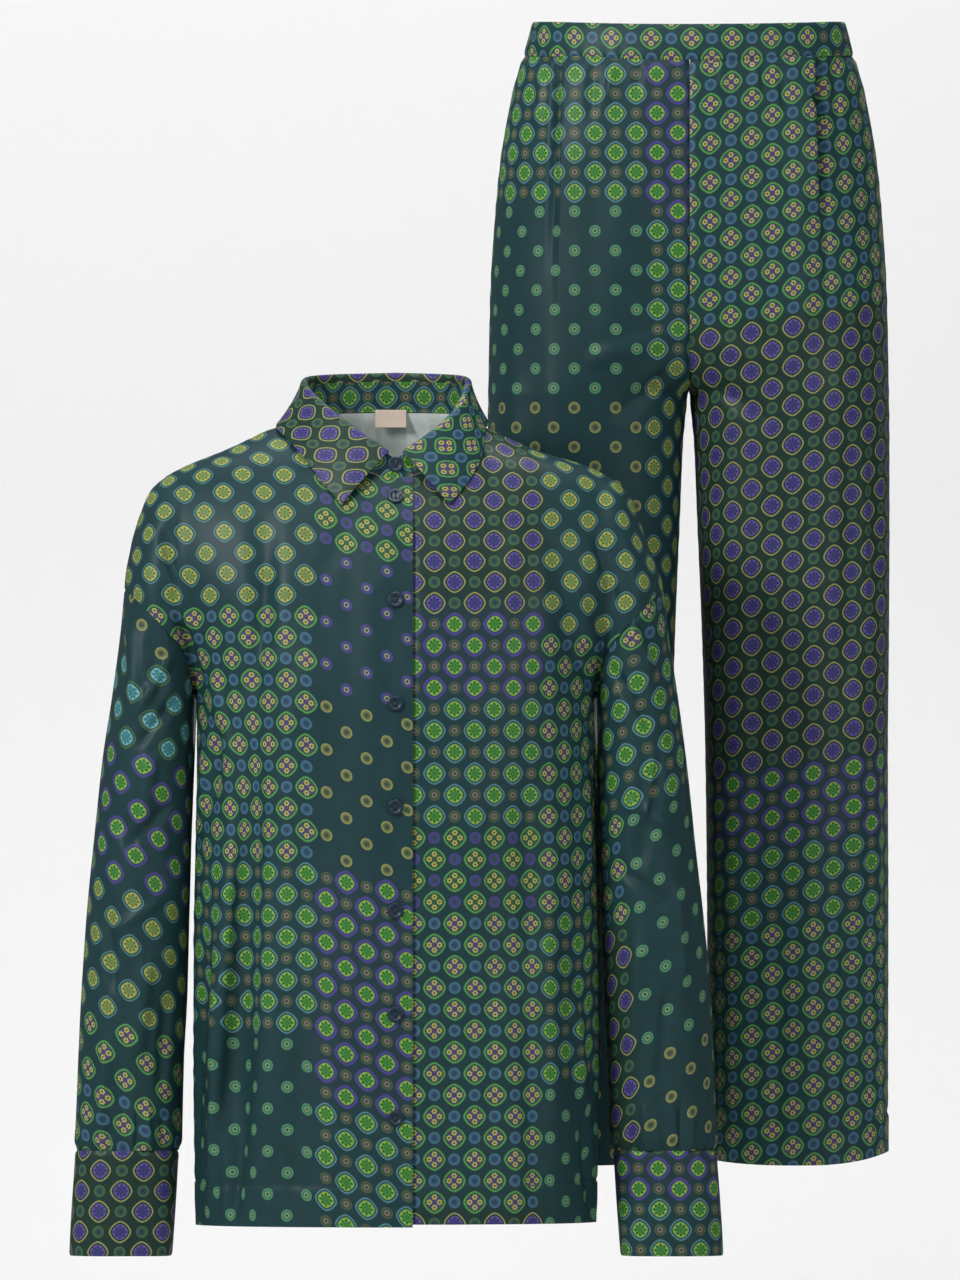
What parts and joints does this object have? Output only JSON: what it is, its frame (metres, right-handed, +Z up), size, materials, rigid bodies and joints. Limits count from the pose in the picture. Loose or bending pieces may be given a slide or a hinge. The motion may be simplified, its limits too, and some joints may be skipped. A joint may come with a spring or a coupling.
{
  "type": "pyjama set",
  "caption": "Satin pyjama set: a long-sleeved shirt with a turned-down collar and buttoned front, and wide full-length trousers, both hollow as worn.",
  "frame": {"origin": "middle of the shirt's neck opening, where the wearer's neck holds the shirt", "axes": "+Z up, -Y out of the front, +X to the wearer's left"},
  "size_m": [0.7502, 0.4811, 1.1291],
  "materials": {
    "shirt_satin": "printed satin",
    "trouser_satin": "printed satin",
    "label": "plain woven",
    "button": "semi-gloss"
  },
  "bodies": {
    "root": {"shirt_front_right": "shirt_satin", "shirt_front_left": "shirt_satin", "shirt_back": "shirt_satin", "sleeve_right": "shirt_satin", "sleeve_left": "shirt_satin", "cuff_right": "shirt_satin", "cuff_left": "shirt_satin", "collar_stand": "shirt_satin", "collar_fall": "shirt_satin", "neck_label": "label", "button_1": "button", "button_2": "button", "button_3": "button", "button_4": "button", "button_5": "button", "button_6": "button", "button_7": "button", "button_8": "button", "trouser_front_right": "trouser_satin", "trouser_front_left": "trouser_satin", "trouser_back_right": "trouser_satin", "trouser_back_left": "trouser_satin", "waistband_front": "trouser_satin", "waistband_back": "trouser_satin"}
  },
  "joints": []
}
